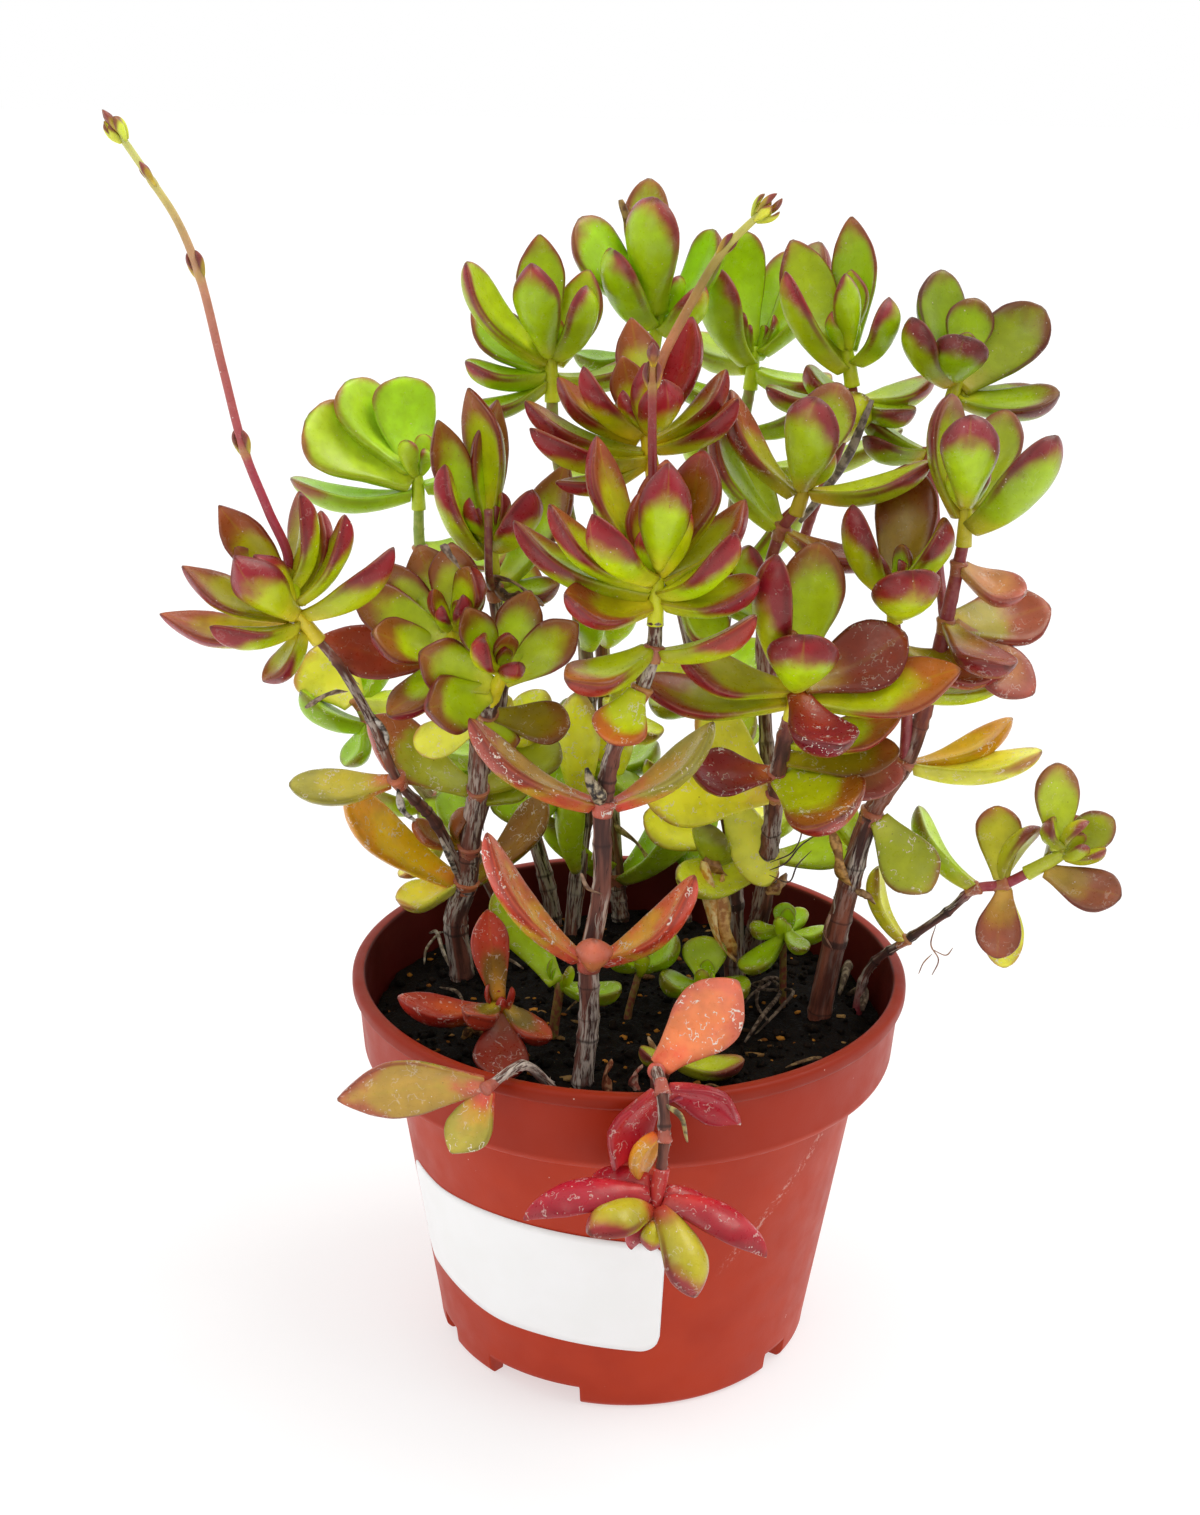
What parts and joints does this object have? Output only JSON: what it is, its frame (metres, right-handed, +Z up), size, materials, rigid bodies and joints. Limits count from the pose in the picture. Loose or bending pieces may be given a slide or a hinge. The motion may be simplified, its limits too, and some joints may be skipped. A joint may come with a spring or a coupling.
{
  "type": "potted crassula",
  "caption": "Potted succulent: woody shoots with rosettes of thick red-edged green leaves and thin flower stalks, in a terracotta-coloured plastic nursery pot with a blank paper label.",
  "frame": {"origin": "middle of the pot's foot, on the surface that the pot stands on", "axes": "+Z up along the pot's axis; -Y is the front, where the shoot hangs over the lip and the label starts; +X is to the viewer's right"},
  "size_m": [0.1769, 0.1356, 0.2343],
  "materials": {
    "pot": "terracotta-coloured moulded plastic, satin, with faint scratches and dust",
    "label": "white matt paper, blank",
    "soil": null,
    "shoot": "woody grey-brown stem with green, orange and red fleshy leaves",
    "rosette": "satin fleshy leaves, green to lime with crimson tips and edges",
    "stalk": "smooth thin red stalk, orange to yellow-green at its tip",
    "sprout": "young satin leaves, fresh green to red"
  },
  "bodies": {
    "root": {"pot": "pot", "label": "label", "soil": "soil", "rosette_back_left": "rosette", "rosette_centre": "rosette", "rosette_dark": "rosette", "rosette_far_left": "rosette", "rosette_front": "rosette", "rosette_hanging": "rosette", "rosette_left_lower": "rosette", "rosette_left_upper": "rosette", "rosette_right": "rosette", "rosette_right_back": "rosette", "rosette_right_front": "rosette", "rosette_right_inner": "rosette", "rosette_right_middle": "rosette", "rosette_right_upper": "rosette", "rosette_top_centre": "rosette", "rosette_top_left": "rosette", "rosette_top_right": "rosette", "rosette_trailing": "rosette", "shoot_back_left": "shoot", "shoot_centre": "shoot", "shoot_front": "shoot", "shoot_hanging": "shoot", "shoot_left": "shoot", "shoot_left_back": "shoot", "shoot_over_lip": "shoot", "shoot_right": "shoot", "shoot_right_front": "shoot", "shoot_top_centre": "shoot", "shoot_top_left": "shoot", "shoot_top_right": "shoot", "shoot_trailing": "shoot", "sprout_green": "sprout", "sprout_left": "sprout", "sprout_middle": "sprout", "sprout_olive": "sprout", "sprout_round": "sprout", "sprout_star": "sprout", "stalk_centre": "stalk", "stalk_far_left": "stalk", "stalk_front": "stalk"}
  },
  "joints": []
}
